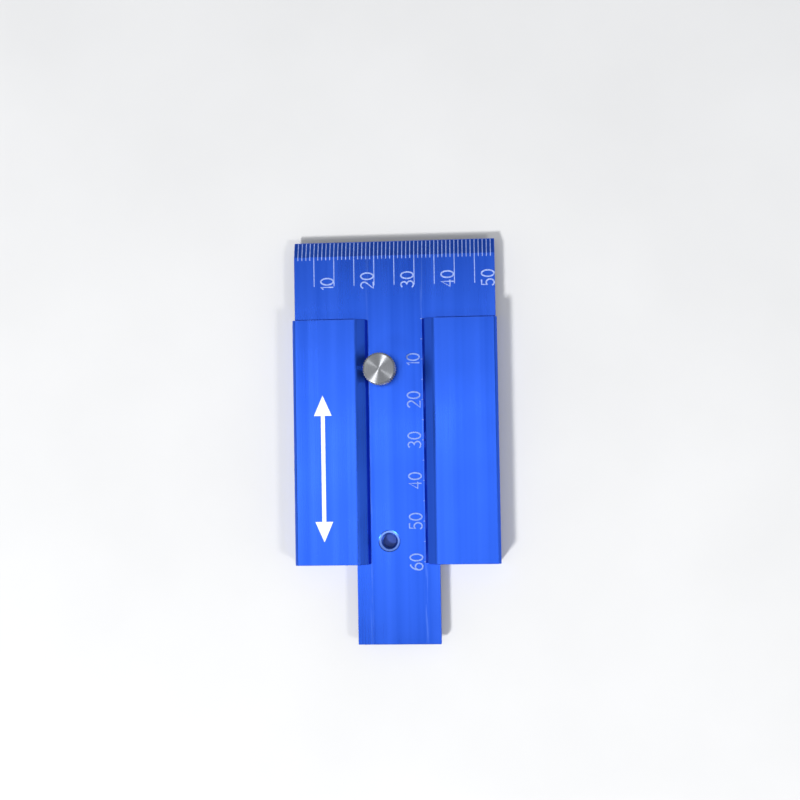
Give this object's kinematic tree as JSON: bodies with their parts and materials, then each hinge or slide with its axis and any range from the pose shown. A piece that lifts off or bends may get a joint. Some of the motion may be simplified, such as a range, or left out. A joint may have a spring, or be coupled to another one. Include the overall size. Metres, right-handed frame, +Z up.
{
  "type": "sliding t square",
  "caption": "Pocket T square: a blade with a bevelled ruling edge slides in a guide block and is locked by a thumb screw.",
  "frame": {"origin": "centre of the underside of the whole tool, blade pushed fully home", "axes": "+Y from the stem's tail to the head's ruling edge, along the slide; +Z up out of the scaled face; +X to the right seen from above with the head at the top"},
  "size_m": [0.0506, 0.1, 0.0109],
  "materials": {
    "block_anodised_blue": "satin blue anodise over lengthways extrusion lines",
    "blade_anodised_blue": "satin blue anodise with pale engraved scales",
    "knob_turned_silver": "turned face, straight knurl",
    "stud_steel": "machined thread",
    "tip_nylon": "natural nylon"
  },
  "bodies": {
    "block": {"guide_block": "block_anodised_blue"},
    "blade": {"sliding_blade": "blade_anodised_blue"},
    "tip": {"soft_tip": "tip_nylon"},
    "screw": {"thumb_knob": "knob_turned_silver", "clamp_stud": "stud_steel"}
  },
  "joints": [
    {"name": "blade_slide", "type": "slide", "parent": "block", "child": "blade", "axis": [0, 1, 0], "range_m": [0, 0.06]},
    {"name": "screw_lift", "type": "slide", "parent": "blade", "child": "tip", "axis": [0, 0, 1], "range_m": [0, 0.00105]},
    {"name": "screw_turn", "type": "hinge", "parent": "tip", "child": "screw", "pos_m": [-0.0036, 0.0177, 0.0021], "axis": [0, 0, 1], "range_deg": [0, 540]}
  ],
  "couplings": [
    {"joint": "screw_turn", "follows": "screw_lift", "rad_per_m": 8976}
  ]
}
